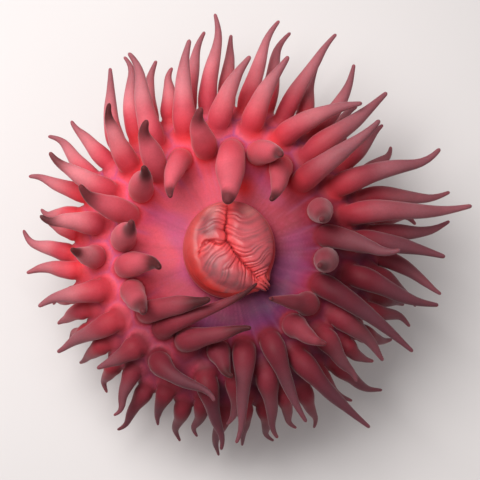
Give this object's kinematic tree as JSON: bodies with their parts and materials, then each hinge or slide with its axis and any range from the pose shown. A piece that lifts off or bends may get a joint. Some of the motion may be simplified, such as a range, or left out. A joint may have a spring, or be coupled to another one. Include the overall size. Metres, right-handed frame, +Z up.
{
  "type": "sea anemone",
  "caption": "Red-pink sea anemone with stout tapering tentacles spread around a smooth disc and swollen pleated lips, standing on its foot",
  "frame": {"origin": "centre of the flat underside of the foot, on the surface it stands on", "axes": "+Z up along the body's axis to the mouth; +X to the side of the disc towards which the mouth's slit bends; +Y along the straight end of the slit"},
  "size_m": [0.1193, 0.1164, 0.0602],
  "materials": {
    "body": "moist, slightly warty skin",
    "crown": "moist smooth skin",
    "tentacle": "moist, a little translucent",
    "tentacle_tip": "moist, grey-brown",
    "disc": "moist, finely striped from mouth to rim",
    "lip": "moist, pleated"
  },
  "bodies": {
    "root": {"foot": "body", "column": "body", "collar": "body", "crown_sector_01": "crown", "crown_sector_02": "crown", "crown_sector_03": "crown", "crown_sector_04": "crown", "crown_sector_05": "crown", "crown_sector_06": "crown", "crown_sector_07": "crown", "crown_sector_08": "crown", "crown_sector_09": "crown", "crown_sector_10": "crown", "crown_sector_11": "crown", "crown_sector_12": "crown", "tentacle_01": "tentacle", "tentacle_01_tip": "tentacle_tip", "tentacle_02": "tentacle", "tentacle_03": "tentacle", "tentacle_03_tip": "tentacle_tip", "tentacle_04": "tentacle", "tentacle_05": "tentacle", "tentacle_05_tip": "tentacle_tip", "tentacle_06": "tentacle", "tentacle_06_tip": "tentacle_tip", "tentacle_07": "tentacle", "tentacle_07_tip": "tentacle_tip", "tentacle_08": "tentacle", "tentacle_09": "tentacle", "tentacle_09_tip": "tentacle_tip", "tentacle_10": "tentacle", "tentacle_11": "tentacle", "tentacle_11_tip": "tentacle_tip", "tentacle_12": "tentacle", "tentacle_13": "tentacle", "tentacle_13_tip": "tentacle_tip", "tentacle_14": "tentacle", "tentacle_14_tip": "tentacle_tip", "tentacle_15": "tentacle", "tentacle_15_tip": "tentacle_tip", "tentacle_16": "tentacle", "tentacle_16_tip": "tentacle_tip", "tentacle_17": "tentacle", "tentacle_17_tip": "tentacle_tip", "tentacle_18": "tentacle", "tentacle_18_tip": "tentacle_tip", "tentacle_19": "tentacle", "tentacle_20": "tentacle", "tentacle_21": "tentacle", "tentacle_22": "tentacle", "tentacle_23": "tentacle", "tentacle_23_tip": "tentacle_tip", "tentacle_24": "tentacle", "disc": "disc", "lip_rim": "lip", "lip_lobe_right": "lip", "lip_lobe_upper": "lip", "lip_lobe_lower": "lip", "lip_corner": "lip"}
  },
  "joints": []
}
